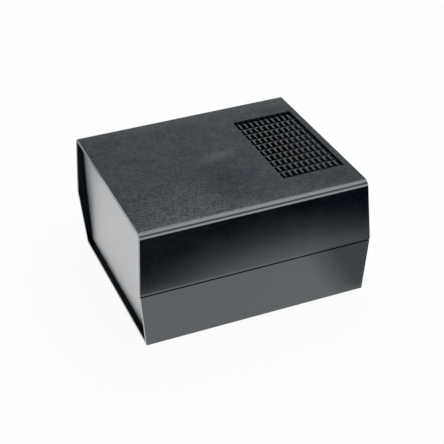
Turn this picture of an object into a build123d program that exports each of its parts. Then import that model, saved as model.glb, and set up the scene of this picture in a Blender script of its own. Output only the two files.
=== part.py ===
from build123d import *
import os

# Desktop instrument case: two moulded half shells that meet at a level seam along the
# two long walls, and a flat aluminium panel held in moulded slots at each open end.
# +Z is up, X runs from end panel to end panel, and the long walls face -Y and +Y.
# The origin is the centre of the underside. All sizes are in millimetres.

# ---------------------------------------------------------------- outer form
top_length = 191.0          # roof, from end edge to end edge
end_bulge = 3.4             # how far each end edge stands out at the kink
bottom_width = 163.4        # underside, across the long walls
kink_width = 171.4          # widest line, where the wall changes its slope
top_width = 169.0           # roof, across the long walls, before rounding
lower_rise = 52.9           # underside up to the kink
upper_rise = 53.3           # kink up to the roof
top_edge_radius = 5.6       # rounding of the two long roof edges
bottom_edge_radius = 1.2    # rounding of the two long bottom edges
wall = 3.0                  # thickness of roof, floor and long walls

# ---------------------------------------------------------------- seam
seam_drop = 2.8             # the seam lies this far under the kink
seam_gap = 1.0              # shadow gap between the outer edges of the shells
tongue_rise = 2.6           # lip on the lower shell that locates the upper one
tongue_fit = 0.15           # side clearance of the lip in its rebate
tongue_end_inset = 1.6      # end edge at the kink back to the end of the lip

# ---------------------------------------------------------------- end panels
panel_thickness = 1.0
panel_recess = 4.2          # roof's end edge to the panel's outer face
panel_fit = 0.15            # clearance round the panel in its slot
slot_rib_thickness = 1.5
slot_rib_height = 1.6       # how far the slot ribs stand in from the wall

# ---------------------------------------------------------------- case screws
pillar_clearance_x = 7.05   # lower pillar to the panel's slot rib
pillar_clearance_y = 3.6    # lower pillar to the long wall, at the floor
screw_shank = 3.2           # diameter over the shank
screw_head = 6.6            # head diameter
screw_head_rise = 2.4
screw_face = 4.8            # flat of the head, inside its sloped rim
screw_rim_slope = 0.9       # height of the sloped rim
screw_grip = 15.0           # length held in the upper pillar
screw_tip = 2.0             # length of the tapered point
screw_tip_width = 1.2
cross_recess_width = 0.9
cross_recess_span = 3.8
cross_recess_depth = 1.3
shank_clearance = 0.3       # radial, in the land
pilot_clearance = 0.05      # radial, in the upper pillar
head_clearance = 0.5        # radial, in the well
pillar_wall = 1.8           # plastic round a well or a pilot hole
land_thickness = 4.0        # plastic under the screw head
pilot_spare = 2.0           # pilot hole past the screw's point
gusset_thickness = 2.0      # web from each pillar to its long wall

# ---------------------------------------------------------------- board bosses
board_spacing_x = 120.0
board_spacing_y = 90.0
boss_diameter = 7.0
boss_rise = 6.0             # above the floor
boss_pilot = 2.5            # diameter of the pilot hole
boss_pilot_depth = 5.0

# ---------------------------------------------------------------- roof grille
grille_columns = 11         # gaps side by side along X
grille_rows = 10            # full gaps one behind another along Y
grille_pitch_x = 5.1
grille_pitch_y = 9.95
grille_edge_x = 3.95        # opening's edge to the centre of the first bar along Y
grille_edge_y = 2.95        # opening's edge to the centre of the first bar along X
grille_clearance = 0.1      # panel's inner face to the opening
grille_middle_y = -0.6      # the opening lies a little nearer to one long wall
grille_recess = 1.1         # roof down to the upper bars
notch_depth = 1.1           # upper bars down to the lower bars
notch_width = 2.4           # break in the upper bars over each lower bar
upper_bar_width = 1.4       # bars along Y
lower_bar_width = 1.4       # bars along X

# ---------------------------------------------------------------- cutting shapes
overcut = 3.0               # how far a cutting shape runs past the face it opens

# ---------------------------------------------------------------- derived levels
kink_z = lower_rise
height = lower_rise + upper_rise
seam_z = kink_z - seam_drop
half_length = top_length / 2
full_length = top_length + 2 * end_bulge
panel_outer_x = half_length - panel_recess
panel_inner_x = panel_outer_x - panel_thickness
outer_rib_x = panel_outer_x + panel_fit
inner_rib_x = panel_inner_x - panel_fit - slot_rib_thickness
tongue_half_length = full_length / 2 - tongue_end_inset
lap_inset = wall / 2            # skirt and lip share the wall's thickness
root_inset = wall / 2           # ribs and pillars are rooted this deep in the shell
roof_inside_z = height - wall
boss_top = wall + boss_rise
well_diameter = screw_head + 2 * head_clearance
lower_pillar_diameter = well_diameter + 2 * pillar_wall
screw_x = inner_rib_x - pillar_clearance_x - lower_pillar_diameter / 2
screw_y = bottom_width / 2 - wall - pillar_clearance_y - lower_pillar_diameter / 2
land_z = seam_z - land_thickness
pilot_depth = screw_grip + pilot_spare
grille_right = panel_inner_x - grille_clearance
grille_span_x = (grille_columns - 2) * grille_pitch_x
grille_left = grille_right - grille_span_x - 2 * grille_edge_x
grille_half_y = grille_rows * grille_pitch_y / 2 + grille_edge_y
screw_places = [(sx * screw_x, sy * screw_y) for sx in (-1, 1) for sy in (-1, 1)]
board_places = [
    (sx * board_spacing_x / 2, sy * board_spacing_y / 2) for sx in (-1, 1) for sy in (-1, 1)
]


def span_box(x, y, z):
    """A box between two limits along each axis."""
    size = [limits[1] - limits[0] for limits in (x, y, z)]
    middle = [(limits[0] + limits[1]) / 2 for limits in (x, y, z)]
    return Pos(*middle) * Box(*size)


def cross_section(inset):
    """The case's section across X, with every face moved in by inset."""
    outline = make_face(
        Polyline(
            (-bottom_width / 2, 0),
            (bottom_width / 2, 0),
            (kink_width / 2, kink_z),
            (top_width / 2, height),
            (-top_width / 2, height),
            (-kink_width / 2, kink_z),
            close=True,
        )
    )
    if inset:
        outline = offset(outline, amount=-inset, kind=Kind.INTERSECTION)
    for level, radius in ((-1, top_edge_radius), (0, bottom_edge_radius)):
        if radius > inset:
            corners = outline.vertices().group_by(Axis.Y)[level]
            outline = fillet(corners, radius - inset)
    return outline


def prism(section, x_from, x_to):
    """A section across X, drawn out between two places along X."""
    return Pos(x_from, 0, 0) * extrude(Plane.YZ * section, amount=x_to - x_from)


def end_outline():
    """Side view of the case: both end edges stand out at the kink."""
    reach = half_length + end_bulge
    return make_face(
        Polyline(
            (-half_length, 0),
            (half_length, 0),
            (reach, kink_z),
            (half_length, height),
            (-half_length, height),
            (-reach, kink_z),
            close=True,
        )
    )


def tube_with_ends():
    """The two shells as one open-ended tube."""
    outside = prism(cross_section(0), -full_length / 2, full_length / 2)
    side_view = extrude(Plane.XZ * end_outline(), amount=kink_width, both=True)
    hollow = prism(cross_section(wall), -full_length, full_length)
    return (outside & side_view) - hollow


def slot_ribs():
    """Two frames round the inside at each end, with the panel's slot between them."""
    frame = cross_section(wall) - cross_section(wall + slot_rib_height)
    ribs = []
    for x_near in (outer_rib_x, inner_rib_x):
        x_far = x_near + slot_rib_thickness
        ribs.append(prism(frame, x_near, x_far))
        ribs.append(prism(frame, -x_far, -x_near))
    return ribs


def slab(z_from, z_to):
    """All the space between two levels."""
    reach = full_length + kink_width
    return span_box((-reach, reach), (-reach, reach), (z_from, z_to))


def wall_strip(outer_inset, inner_inset, z_from, z_to):
    """A strip inside both long walls, between two depths and two levels."""
    ring = cross_section(outer_inset) - cross_section(inner_inset)
    return prism(ring, -tongue_half_length, tongue_half_length) & slab(z_from, z_to)


def column(x, y, diameter, z_from, z_to):
    """A round upright between two levels."""
    middle = Pos(x, y, (z_from + z_to) / 2)
    return middle * Cylinder(diameter / 2, z_to - z_from)


def pillars(diameter, z_from, z_to):
    """The four screw pillars, each with a web out to its long wall."""
    reach = kink_width / 2
    solids = []
    for x, y in screw_places:
        solids.append(column(x, y, diameter, z_from, z_to))
        across = (y, reach) if y > 0 else (-reach, y)
        along = (x - gusset_thickness / 2, x + gusset_thickness / 2)
        solids.append(span_box(along, across, (z_from, z_to)))
    return solids


def grille_lines(count, pitch, middle):
    """Centres of evenly spaced bars."""
    return [middle + (i - (count - 1) / 2) * pitch for i in range(count)]


def between(low, high, lines, width):
    """The gaps that bars of one width leave between two limits."""
    edges = [low]
    for line in lines:
        edges += [line - width / 2, line + width / 2]
    edges.append(high)
    return list(zip(edges[0::2], edges[1::2]))


def grille_cuts():
    """What the grille takes out of the roof: a sunk field, its gaps and its notches."""
    middle_x = (grille_left + grille_right) / 2
    upper_bars = grille_lines(grille_columns - 1, grille_pitch_x, middle_x)
    lower_bars = grille_lines(grille_rows + 1, grille_pitch_y, grille_middle_y)
    upper_z = height - grille_recess
    lower_z = upper_z - notch_depth
    field_x = (grille_left, grille_right)
    field_y = (grille_middle_y - grille_half_y, grille_middle_y + grille_half_y)
    cuts = [span_box(field_x, field_y, (upper_z, height + overcut))]
    for gap_x in between(*field_x, upper_bars, upper_bar_width):
        for gap_y in between(*field_y, lower_bars, lower_bar_width):
            cuts.append(span_box(gap_x, gap_y, (roof_inside_z - overcut, height)))
    for line in lower_bars:
        notch_y = (line - notch_width / 2, line + notch_width / 2)
        cuts.append(span_box(field_x, notch_y, (lower_z, height)))
    return cuts


def lower_shell():
    """Floor, lower walls, lip, pillars with screw wells, and board bosses."""
    tube = tube_with_ends()
    space = prism(cross_section(root_inset), -full_length, full_length)
    shell = (tube & slab(0, seam_z)) + [rib & slab(0, seam_z) for rib in slot_ribs()]
    shell += [post & space for post in pillars(lower_pillar_diameter, root_inset, seam_z)]
    shell += wall_strip(lap_inset + tongue_fit, wall, seam_z - wall, seam_z + tongue_rise)
    for x, y in board_places:
        shell += column(x, y, boss_diameter, root_inset, boss_top)
    bore = screw_shank + 2 * shank_clearance
    cuts = []
    for x, y in screw_places:
        cuts.append(column(x, y, well_diameter, -overcut, land_z))
        cuts.append(column(x, y, bore, land_z - overcut, seam_z + overcut))
    for x, y in board_places:
        cuts.append(column(x, y, boss_pilot, boss_top - boss_pilot_depth, boss_top + overcut))
    return shell - cuts


def upper_shell():
    """Roof with its grille, upper walls, rebate for the lip, and pilot pillars."""
    tube = tube_with_ends()
    space = prism(cross_section(root_inset), -full_length, full_length)
    pilot = screw_shank + 2 * pilot_clearance
    foot_z = seam_z + seam_gap
    lip_top = seam_z + tongue_rise
    shell = (tube & slab(foot_z, height)) + [rib & slab(foot_z, height) for rib in slot_ribs()]
    posts = pillars(pilot + 2 * pillar_wall, seam_z, height - root_inset)
    shell += [post & space for post in posts]
    shell -= wall_strip(lap_inset, wall + tongue_fit, 0, lip_top)
    rib_relief = span_box(
        (inner_rib_x - overcut, panel_inner_x),
        (grille_middle_y - grille_half_y, grille_middle_y + grille_half_y),
        (roof_inside_z - slot_rib_height - overcut, roof_inside_z),
    )
    pilots = [column(x, y, pilot, seam_z - overcut, seam_z + pilot_depth) for x, y in screw_places]
    return shell - [rib_relief] - pilots - grille_cuts()


def end_panel(side):
    """A flat sheet that fills the inside of the case; side is -1 or 1."""
    sheet = cross_section(wall + panel_fit)
    if side > 0:
        return prism(sheet, panel_inner_x, panel_outer_x)
    return prism(sheet, -panel_outer_x, -panel_inner_x)


def case_screw(x, y):
    """A pan-head screw that stands head down in its well."""
    face_z = land_z - screw_head_rise
    tip_z = seam_z + screw_grip
    half = make_face(
        Polyline(
            (0, face_z),
            (screw_face / 2, face_z),
            (screw_head / 2, face_z + screw_rim_slope),
            (screw_head / 2, land_z),
            (screw_shank / 2, land_z),
            (screw_shank / 2, tip_z - screw_tip),
            (screw_tip_width / 2, tip_z),
            (0, tip_z),
            close=True,
        )
    )
    screw = Pos(x, y, 0) * revolve(Plane.XZ * half, axis=Axis.Z)
    along = cross_recess_span / 2
    across = cross_recess_width / 2
    recess_z = (face_z - overcut, face_z + cross_recess_depth)
    recess = [
        span_box((x - along, x + along), (y - across, y + across), recess_z),
        span_box((x - across, x + across), (y - along, y + along), recess_z),
    ]
    return screw - recess


def build():
    """Every node, by name."""
    return {
        "lower_shell": lower_shell(),
        "upper_shell": upper_shell(),
        "left_end_panel": end_panel(-1),
        "right_end_panel": end_panel(1),
        "case_screws": Compound([case_screw(x, y) for x, y in screw_places]),
    }


os.makedirs("parts", exist_ok=True)
for name, shape in build().items():
    export_step(shape, f"parts/{name}.step")
    size = shape.bounding_box().size
    print(f"{name}: {shape.volume / 1000:.2f} cm3, {size.X:.1f} x {size.Y:.1f} x {size.Z:.1f} mm")
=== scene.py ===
import math

import bpy
from mathutils import Matrix, Vector


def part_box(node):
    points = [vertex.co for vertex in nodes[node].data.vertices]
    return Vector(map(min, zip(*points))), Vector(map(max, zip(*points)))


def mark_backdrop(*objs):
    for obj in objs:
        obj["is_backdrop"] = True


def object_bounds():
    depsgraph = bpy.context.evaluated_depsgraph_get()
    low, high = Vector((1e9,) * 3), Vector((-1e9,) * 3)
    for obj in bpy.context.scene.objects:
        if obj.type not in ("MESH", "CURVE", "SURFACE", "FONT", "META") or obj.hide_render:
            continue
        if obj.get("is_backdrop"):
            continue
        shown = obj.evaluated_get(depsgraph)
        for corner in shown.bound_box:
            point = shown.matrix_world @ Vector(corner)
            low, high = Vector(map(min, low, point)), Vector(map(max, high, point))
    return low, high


# Desktop instrument case: looks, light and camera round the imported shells, panels and screws.
# Metres, +Z up, the origin at the centre of the underside.

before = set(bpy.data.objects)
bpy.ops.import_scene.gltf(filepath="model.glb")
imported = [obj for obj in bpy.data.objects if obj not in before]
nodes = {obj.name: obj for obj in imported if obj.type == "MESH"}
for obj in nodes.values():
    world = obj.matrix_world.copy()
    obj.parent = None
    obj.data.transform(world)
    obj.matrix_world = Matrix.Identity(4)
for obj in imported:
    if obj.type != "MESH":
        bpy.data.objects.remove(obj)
cad_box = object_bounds()

# ------------------------------------------------------------------ camera
image_side = 444
focal_px = 1149.69
sensor_width = 36.0             # millimetres, as the lens
camera_azimuth = math.radians(-21.3122)
camera_elevation = math.radians(32.4369)
camera_roll = math.radians(-1.6838)
camera_distance = 0.9813156
camera_target = Vector((0.0032997, 0.0, 0.0430783))

# ------------------------------------------------------------------ levels taken from the frame
roof_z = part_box("upper_shell")[1].z
roof_skin = 0.00035             # faces within this of the roof's level count as its surface
panel_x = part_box("right_end_panel")[1].x
seam_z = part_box("upper_shell")[0].z     # the upper pillars stand on the lower ones here
seam_gap = 0.0010
rim_edge_x = 0.0946             # past the panel's slot, before the shells' end edges
inside_top_z = roof_z - 0.0031  # the case's inside lies under this
level_fade = 0.0002             # over which a change of gloss at a level is eased
rim_shade_fade = (0.0015, 0.0010)   # the rims' painted shade eases in here, inwards from the panel's face
seam_shade_fade = (0.00014, 0.00020)  # and the seam's painted shade eases out here, past the gap
facing_in = (-0.02, -0.01)      # faces that look to the case's middle are under this
facing_out = (0.02, 0.03)       # and the outer walls, roof and underside are over this
facing_up = (0.90, 0.995)       # upward part of the normal, from rounded edge to flat roof

# ------------------------------------------------------------------ colours and gloss
plastic_dark = (0.0004, 0.0016, 0.0048, 1)
plastic_light = (0.0048, 0.0086, 0.0155, 1)
plastic_ior = 1.85
plastic_sheen = (0.87, 0.96, 0.975, 1)  # its reflections are a little cold
roof_dullness = 0.69            # share of the gloss that the eroded roof loses
recess_shade_strength = 0.94          # share of the gloss taken away as painted shade inside the rims, along the seam and inside the case
wall_roughness = (0.12, 0.16)
roof_extra_roughness = (0.22, 0.34)
panel_roughness = (0.34, 0.42)
screw_roughness = (0.30, 0.48)
fine_relief, fine_strength = 0.00004, (0.06, 0.7)       # strength on the walls, on the roof
coarse_relief, coarse_strength = 0.00006, (0.04, 0.6)
aluminium_dark = (0.440, 0.445, 0.455, 1)
aluminium_light = (0.470, 0.476, 0.487, 1)
screw_dark = (0.05, 0.05, 0.055, 1)
screw_light = (0.11, 0.11, 0.115, 1)
noise_span = (0.35, 0.65)       # most values of a noise lie between these

# ------------------------------------------------------------------ gloss of the roof by place
# A spot is its middle from above and its half sizes. A band is where it starts and ends along Y.
gate_spot, gate_gloss = ((0.003, 0.003), 0.021, 0.012), 0.30        # pale mark in the middle
flow_spot, flow_gloss = ((-0.006, -0.036), 0.036, 0.050), -0.16     # dark area in front of it
corner_spot, corner_gloss = ((-0.060, -0.070), 0.095, 0.060), 0.14  # front left corner
right_spot, right_gloss = ((0.075, -0.068), 0.045, 0.030), -0.09    # front right
back_band, back_gloss = (0.064, 0.078), 0.16
front_band, front_gloss = (-0.078, -0.064), 0.10
patch_gloss = 0.07              # up and down, in patches of a centimetre or two
grain_gloss = 0.14              # up and down, in the fine grain
corner_grain = 0.16             # more of it at the front left corner
flow_grain = -0.05              # and less in the dark area

# ------------------------------------------------------------------ light
white = 1.0                     # strength at which the view transform gives white
ambient = 0.45                  # what the surroundings give to matt surfaces
horizon_glow = 0.95             # surroundings in a reflection, low down
ceiling_glow = 0.45             # and overhead
glow_change = (0.40, 0.70)      # upward part of the direction, 24 to 44 degrees
floor_albedo = 0.80
floor_glow = 0.94               # part of the floor's white that no shadow darkens
floor_in_reflection = 1.22      # how bright reflections show it close to the object
bright_floor_reach = 0.072      # it stays so up to here from the long walls
dark_floor_reach = 0.158        # and is dark from here
back_floor_least = 0.62         # share of it that is left everywhere behind the object
left_floor_least = 0.035        # and in front of its left half

# Places on the floor that reflections show, in pairs: where a change starts and where it ends.
# "front" counts outwards from the front wall. The lower wall shows the nearer part.
lower_to_upper = (0.055, 0.085) # front: from what the lower wall shows to what the upper does
left_change, left_reach = (-0.24, 0.06), 0.21
right_change, right_reach = (0.10, 0.25), 0.15
beside_x = (-0.115, -0.095)     # left of this the left panel shows the floor
beside_y = (0.19, 0.23)
behind_y = (0.0, 0.05)
left_half_x = (-0.04, 0.08)
dim_x = (0.065, 0.095)          # a dim patch in front of the right end
dim_front = (-0.010, 0.005)
dim_lean_front, dim_lean = (0.05, 0.17), 0.072  # it leans to the right further out
dim_lower, dim_upper = 0.58, 0.20
dim_top_front, dim_top = (0.085, 0.125), 0.25

# Name, place, what it faces, width, depth, brightness, whether matt surfaces get it too.
# The overhead one faces a hair off straight down, which settles how it is turned.
softboxes = (
    ("overhead", (0.36, 0.10, 1.05), (0.36, 0.1001, 0), 0.55, 1.80, 2.6, True),
    ("front_strip", (0.10, -0.33, 0.130), (0.10, 0, 0.130), 0.9, 0.14, 2.4, False),
)


def camera_axes():
    """Right, up and back of the camera."""
    flat = math.cos(camera_elevation)
    back = Vector((
        math.sin(camera_azimuth) * flat,
        -math.cos(camera_azimuth) * flat,
        math.sin(camera_elevation),
    ))
    right = Vector((0, 0, 1)).cross(back).normalized()
    up = back.cross(right)
    cosine, sine = math.cos(camera_roll), math.sin(camera_roll)
    return cosine * right + sine * up, cosine * up - sine * right, back


def add_camera():
    """The camera, from its direction, distance and roll."""
    right, up, back = camera_axes()
    data = bpy.data.cameras.new("camera")
    data.sensor_width = sensor_width
    data.lens = focal_px * sensor_width / image_side
    data.clip_start = 0.01
    data.clip_end = 20.0
    camera = bpy.data.objects.new("camera", data)
    place = camera_target + back * camera_distance
    turn = Matrix((right, up, back)).transposed().to_4x4()
    camera.matrix_world = Matrix.Translation(place) @ turn
    bpy.context.scene.collection.objects.link(camera)
    bpy.context.scene.camera = camera


class Nodes:
    """Short calls for building a material's node tree."""

    def __init__(self, name):
        self.material = bpy.data.materials.new(name)
        self.material.use_nodes = True
        self.tree = self.material.node_tree
        self.shader = self.tree.nodes["Principled BSDF"]

    def add(self, kind, **settings):
        node = self.tree.nodes.new(kind)
        for key, value in settings.items():
            setattr(node, key, value)
        return node

    def link(self, source, target):
        self.tree.links.new(source, target)

    def feed(self, value, socket):
        """A number is set on the socket, and another node's output is linked to it."""
        if isinstance(value, (int, float)):
            socket.default_value = value
        else:
            self.link(value, socket)

    def place(self):
        return self.add("ShaderNodeNewGeometry").outputs["Position"]

    def normal(self):
        return self.add("ShaderNodeNewGeometry").outputs["Normal"]

    def axis(self, vector, name):
        split = self.add("ShaderNodeSeparateXYZ")
        self.link(vector, split.inputs[0])
        return split.outputs[name]

    def noise(self, scale, detail=3.0, roughness=0.6, stretch=(1, 1, 1)):
        mapping = self.add("ShaderNodeMapping")
        mapping.inputs["Scale"].default_value = stretch
        self.link(self.place(), mapping.inputs["Vector"])
        node = self.add("ShaderNodeTexNoise")
        node.inputs["Scale"].default_value = scale
        node.inputs["Detail"].default_value = detail
        node.inputs["Roughness"].default_value = roughness
        self.link(mapping.outputs[0], node.inputs["Vector"])
        return node.outputs["Fac"]

    def ramp(self, value, low, high, to_low=0.0, to_high=1.0):
        """Maps low..high to to_low..to_high, held at both ends."""
        node = self.add("ShaderNodeMapRange", clamp=True)
        node.inputs["From Min"].default_value = low
        node.inputs["From Max"].default_value = high
        node.inputs["To Min"].default_value = to_low
        node.inputs["To Max"].default_value = to_high
        self.link(value, node.inputs["Value"])
        return node.outputs["Result"]

    def sum(self, first, second, kind="ADD"):
        node = self.add("ShaderNodeMath", operation=kind)
        self.feed(first, node.inputs[0])
        self.feed(second, node.inputs[1])
        return node.outputs[0]

    def mix(self, factor, first, second):
        """A colour between first and second."""
        node = self.add("ShaderNodeMix", data_type="RGBA")
        self.feed(factor, node.inputs[0])
        for value, socket in ((first, node.inputs[6]), (second, node.inputs[7])):
            if isinstance(value, tuple):
                socket.default_value = value
            else:
                self.link(value, socket)
        return node.outputs[2]

    def bump(self, height, distance, strength, under=None):
        node = self.add("ShaderNodeBump")
        node.inputs["Distance"].default_value = distance
        self.feed(strength, node.inputs["Strength"])
        self.link(height, node.inputs["Height"])
        if under is not None:
            self.link(under, node.inputs["Normal"])
        return node.outputs[0]


def soft_spot(m, place, half_x, half_y):
    """1 at one place seen from above, easing to 0 at an ellipse round it."""
    squares = []
    for name, middle, half in (("X", place[0], half_x), ("Y", place[1], half_y)):
        offset = m.sum(m.sum(m.axis(m.place(), name), middle, "SUBTRACT"), half, "DIVIDE")
        squares.append(m.sum(offset, 2.0, "POWER"))
    spot = m.ramp(m.sum(m.sum(*squares), 0.5, "POWER"), 0.0, 1.0, 1.0, 0.0)
    spot.node.interpolation_type = "SMOOTHSTEP"
    return spot


def painted_recess_shade(m):
    """Mask of painted shade: 1 inside the rims past the panels, along the seam and inside the
    case, else 0.
    """
    turned = []
    for name, middle in (("Y", 0.0), ("Z", roof_z / 2)):
        offset = m.sum(m.axis(m.place(), name), middle, "SUBTRACT")
        turned.append(m.sum(m.axis(m.normal(), name), offset, "MULTIPLY"))
    outwards = m.sum(*turned)
    reach = m.sum(m.axis(m.place(), "X"), 0.0, "ABSOLUTE")
    height = m.axis(m.place(), "Z")
    past_panel = m.ramp(reach, panel_x - rim_shade_fade[0], panel_x - rim_shade_fade[1])
    below_roof = m.ramp(height, inside_top_z - level_fade, inside_top_z, 1.0, 0.0)
    inner = m.sum(m.ramp(outwards, *facing_in, 1.0, 0.0),
                  m.sum(past_panel, below_roof, "MAXIMUM"), "MULTIPLY")
    slot = m.sum(m.ramp(outwards, *facing_out, 1.0, 0.0), past_panel, "MULTIPLY")
    slot = m.sum(slot, m.ramp(reach, rim_edge_x, rim_edge_x + level_fade, 1.0, 0.0), "MULTIPLY")
    seam_top = seam_z + seam_gap
    seam = m.sum(m.ramp(height, seam_z - seam_shade_fade[1], seam_z - seam_shade_fade[0]),
                 m.ramp(height, seam_top + seam_shade_fade[0], seam_top + seam_shade_fade[1], 1.0, 0.0),
                 "MULTIPLY")
    return m.sum(m.sum(inner, slot, "MAXIMUM"), seam, "MAXIMUM")


def roof_polish(m):
    """How much more or less gloss than usual the roof has, from place to place."""
    corner = soft_spot(m, *corner_spot)
    flow = soft_spot(m, *flow_spot)
    y = m.axis(m.place(), "Y")
    grain_depth = m.sum(m.sum(corner, corner_grain, "MULTIPLY"),
                        m.sum(flow, flow_grain, "MULTIPLY"))
    grain = m.ramp(m.noise(560.0, 3.0, 0.6), 0.36, 0.64, -1.0, 1.0)
    total = m.ramp(m.noise(70.0, 4.0, 0.65), *noise_span, -patch_gloss, patch_gloss)
    for part in (
        m.sum(soft_spot(m, *gate_spot), gate_gloss, "MULTIPLY"),
        m.sum(flow, flow_gloss, "MULTIPLY"),
        m.sum(corner, corner_gloss, "MULTIPLY"),
        m.sum(soft_spot(m, *right_spot), right_gloss, "MULTIPLY"),
        m.ramp(y, *back_band, 0.0, back_gloss),
        m.ramp(y, *front_band, front_gloss, 0.0),
        m.sum(grain, m.sum(grain_depth, grain_gloss), "MULTIPLY"),
    ):
        total = m.sum(total, part)
    return total


def moulded_plastic(name):
    """Black moulded plastic: spark-eroded roof, smoother long walls."""
    m = Nodes(name)
    up = m.axis(m.normal(), "Z")
    height = m.axis(m.place(), "Z")
    flat = m.ramp(up, *facing_up)
    on_roof = m.ramp(height, roof_z - 2 * roof_skin, roof_z - roof_skin)
    erosion = m.sum(flat, on_roof, "MULTIPLY")

    cloud = m.ramp(m.noise(30.0, 4.0, 0.65), *noise_span)
    mottle = m.ramp(m.noise(260.0, 3.0, 0.6), *noise_span)
    tone = m.sum(m.sum(cloud, 0.5, "MULTIPLY"), m.sum(mottle, 0.5, "MULTIPLY"))
    m.link(m.mix(m.ramp(tone, 0.2, 0.8), plastic_dark, plastic_light),
           m.shader.inputs["Base Color"])

    # Metallic over the near-black base takes gloss away: less on the eroded roof, and as painted
    # shade inside the rims, along the seam and inside the case.
    dull = m.sum(erosion, m.sum(roof_dullness, roof_polish(m), "SUBTRACT"), "MULTIPLY")
    m.link(m.sum(dull, m.sum(painted_recess_shade(m), recess_shade_strength, "MULTIPLY"), "MAXIMUM"),
           m.shader.inputs["Metallic"])

    wall_rough = m.ramp(tone, 0.0, 1.0, *wall_roughness)
    extra_rough = m.sum(erosion, m.ramp(tone, 0.0, 1.0, *roof_extra_roughness), "MULTIPLY")
    m.link(m.sum(wall_rough, extra_rough), m.shader.inputs["Roughness"])

    fine = m.noise(1500.0, 2.0, 0.55)
    coarse = m.noise(420.0, 3.0, 0.6)
    skin = m.bump(fine, fine_relief, m.ramp(erosion, 0.0, 1.0, *fine_strength))
    m.link(m.bump(coarse, coarse_relief, m.ramp(erosion, 0.0, 1.0, *coarse_strength), skin),
           m.shader.inputs["Normal"])
    m.shader.inputs["IOR"].default_value = plastic_ior
    m.shader.inputs["Specular Tint"].default_value = plastic_sheen
    return m.material


def satin_aluminium(name):
    """Anodised sheet, satin with a faint upright grain."""
    m = Nodes(name)
    grain = m.noise(1500.0, 3.0, 0.6, stretch=(1, 1, 0.12))
    cloud = m.noise(30.0, 2.0, 0.5)
    tone = m.sum(m.sum(grain, 0.4, "MULTIPLY"), m.sum(cloud, 0.6, "MULTIPLY"))
    m.link(m.mix(m.ramp(tone, *noise_span), aluminium_dark, aluminium_light),
           m.shader.inputs["Base Color"])
    m.shader.inputs["Metallic"].default_value = 0.5
    m.link(m.ramp(tone, *noise_span, *panel_roughness), m.shader.inputs["Roughness"])
    m.link(m.bump(grain, 0.000008, 0.15), m.shader.inputs["Normal"])
    return m.material


def blackened_steel(name):
    """Screw heads and shanks."""
    m = Nodes(name)
    speck = m.noise(1800.0, 3.0, 0.6)
    m.link(m.mix(m.ramp(speck, 0.3, 0.7), screw_dark, screw_light),
           m.shader.inputs["Base Color"])
    m.shader.inputs["Metallic"].default_value = 0.85
    m.link(m.ramp(speck, 0.3, 0.7, *screw_roughness), m.shader.inputs["Roughness"])
    m.link(m.bump(speck, 0.00002, 0.4), m.shader.inputs["Normal"])
    return m.material


def dress(names, material):
    """Gives CAD nodes their material."""
    for name in names:
        slots = nodes[name].data.materials
        slots.clear()
        slots.append(material)


def seen_directly(tree):
    """1 where the camera, a reflection or clear glass sees a surface, else 0."""
    path = tree.nodes.new("ShaderNodeLightPath")
    seen = path.outputs["Is Camera Ray"]
    for other in ("Is Glossy Ray", "Is Transmission Ray"):
        node = tree.nodes.new("ShaderNodeMath")
        node.operation = "MAXIMUM"
        tree.links.new(seen, node.inputs[0])
        tree.links.new(path.outputs[other], node.inputs[1])
        seen = node.outputs[0]
    return seen, path.outputs["Is Glossy Ray"]


def floor_in_reflections(m):
    """White beside the long walls, dark further out, with softer ends to left and right."""
    side = cad_box[1][1]
    x = m.axis(m.place(), "X")
    y = m.axis(m.place(), "Y")
    out = m.sum(m.sum(m.sum(y, 0.0, "ABSOLUTE"), side, "SUBTRACT"), 0.0, "MAXIMUM")
    front = m.sum(m.sum(y, -1.0, "MULTIPLY"), side, "SUBTRACT")
    leftwards = m.sum(m.ramp(x, *left_change, left_reach, 0.0),
                      m.ramp(front, *lower_to_upper), "MULTIPLY")
    sideways = m.sum(leftwards, m.ramp(x, *right_change, 0.0, right_reach))
    reach = m.sum(m.sum(m.sum(out, 2.0, "POWER"), m.sum(sideways, 2.0, "POWER")), 0.5, "POWER")
    near = m.sum(m.ramp(reach, bright_floor_reach, dark_floor_reach, 1.0, 0.0), 2.0, "POWER")
    beside = m.sum(m.ramp(x, *beside_x, 1.0, 0.0), m.ramp(y, *beside_y, 1.0, 0.0), "MULTIPLY")
    for least in (
        beside,
        m.ramp(y, *behind_y, 0.0, back_floor_least),
        m.ramp(x, *left_half_x, left_floor_least, 0.0),
    ):
        near = m.sum(near, least, "MAXIMUM")
    rightwards = m.sum(x, m.ramp(front, *dim_lean_front, 0.0, dim_lean), "SUBTRACT")
    dim = m.sum(m.ramp(rightwards, *dim_x), m.ramp(front, *dim_front), "MULTIPLY")
    dim_depth = m.sum(m.ramp(front, *lower_to_upper, dim_lower, dim_upper),
                      m.ramp(front, *dim_top_front, 0.0, dim_top))
    dim = m.sum(dim, dim_depth, "MULTIPLY")
    kept = m.sum(1.0, dim, "SUBTRACT")
    return m.sum(m.sum(near, kept, "MULTIPLY"), floor_in_reflection, "MULTIPLY")


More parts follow.
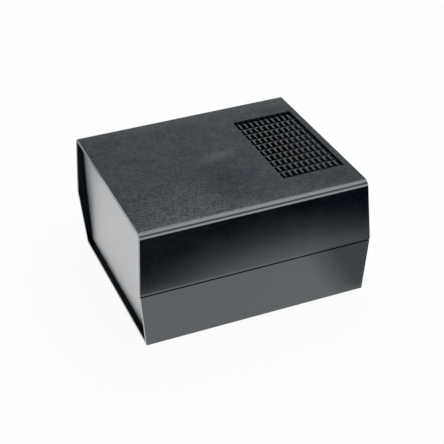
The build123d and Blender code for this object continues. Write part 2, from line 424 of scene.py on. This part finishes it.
def floor_material():
    """White to the eye, with the object's shadow; in reflections it darkens further out."""
    m = Nodes("floor_white")
    tree = m.tree
    m.shader.inputs["Base Color"].default_value = (floor_albedo,) * 3 + (1,)
    m.shader.inputs["Roughness"].default_value = 0.9
    m.shader.inputs["Specular IOR Level"].default_value = 0.0
    seen, glossy = seen_directly(tree)
    shade = m.add("ShaderNodeBsdfDiffuse")
    shade.inputs["Color"].default_value = (white - floor_glow,) * 3 + (1,)
    glow = m.add("ShaderNodeEmission")
    glow.inputs["Strength"].default_value = floor_glow
    direct = m.add("ShaderNodeAddShader")
    m.link(shade.outputs[0], direct.inputs[0])
    m.link(glow.outputs[0], direct.inputs[1])
    mirrored = m.add("ShaderNodeEmission")
    m.link(floor_in_reflections(m), mirrored.inputs["Strength"])
    by_ray = m.add("ShaderNodeMixShader")
    m.link(glossy, by_ray.inputs[0])
    m.link(direct.outputs[0], by_ray.inputs[1])
    m.link(mirrored.outputs[0], by_ray.inputs[2])
    whole = m.add("ShaderNodeMixShader")
    m.link(seen, whole.inputs[0])
    m.link(m.shader.outputs[0], whole.inputs[1])
    m.link(by_ray.outputs[0], whole.inputs[2])
    m.link(whole.outputs[0], tree.nodes["Material Output"].inputs["Surface"])
    return m.material


def add_floor():
    """A plain floor under the object."""
    size = 6.0
    drop = 0.0002
    mesh = bpy.data.meshes.new("floor")
    plan = ((-size, -size), (size, -size), (size, size), (-size, size))
    mesh.from_pydata([(x, y, -drop) for x, y in plan], [], [(0, 1, 2, 3)])
    floor = bpy.data.objects.new("floor", mesh)
    bpy.context.scene.collection.objects.link(floor)
    mesh.materials.append(floor_material())
    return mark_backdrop(floor)


def add_world():
    """Even surroundings, plain white to the camera and greyer overhead in reflections."""
    world = bpy.data.worlds.new("surroundings")
    world.use_nodes = True
    tree = world.node_tree
    background = tree.nodes["Background"]
    seen, glossy = seen_directly(tree)

    def ramp(value, low, high, to_low, to_high):
        node = tree.nodes.new("ShaderNodeMapRange")
        node.inputs["From Min"].default_value = low
        node.inputs["From Max"].default_value = high
        for end, target in ((to_low, "To Min"), (to_high, "To Max")):
            if isinstance(end, float):
                node.inputs[target].default_value = end
            else:
                tree.links.new(end, node.inputs[target])
        tree.links.new(value, node.inputs["Value"])
        return node.outputs["Result"]

    direction = tree.nodes.new("ShaderNodeTexCoord").outputs["Generated"]
    split = tree.nodes.new("ShaderNodeSeparateXYZ")
    tree.links.new(direction, split.inputs[0])
    sky = ramp(split.outputs["Z"], *glow_change, horizon_glow, ceiling_glow)
    mirrored = ramp(glossy, 0.0, 1.0, white, sky)
    strength = ramp(seen, 0.0, 1.0, ambient, mirrored)
    tree.links.new(strength, background.inputs["Strength"])
    background.inputs["Color"].default_value = (1, 1, 1, 1)
    bpy.context.scene.world = world


def add_softbox(name, place, aim, width, depth, radiance, matt_too):
    """A rectangular lamp that faces aim, as bright as radiance times white."""
    data = bpy.data.lights.new(name, "AREA")
    data.shape = "RECTANGLE"
    data.size = width
    data.size_y = depth
    data.energy = radiance * math.pi * width * depth
    lamp = bpy.data.objects.new(name, data)
    direction = Vector(aim) - Vector(place)
    lamp.rotation_mode = "QUATERNION"
    lamp.rotation_quaternion = direction.to_track_quat("-Z", "Y")
    lamp.location = place
    lamp.visible_camera = False
    lamp.visible_diffuse = matt_too
    bpy.context.scene.collection.objects.link(lamp)
    return lamp


dress(["upper_shell"], moulded_plastic("plastic_upper"))
dress(["lower_shell"], moulded_plastic("plastic_lower"))
dress(["left_end_panel", "right_end_panel"], satin_aluminium("aluminium_sheet"))
dress(["case_screws"], blackened_steel("screw_steel"))

add_camera()
add_floor()
add_world()
for softbox in softboxes:
    add_softbox(*softbox)

bpy.context.scene.view_settings.view_transform = "Standard"
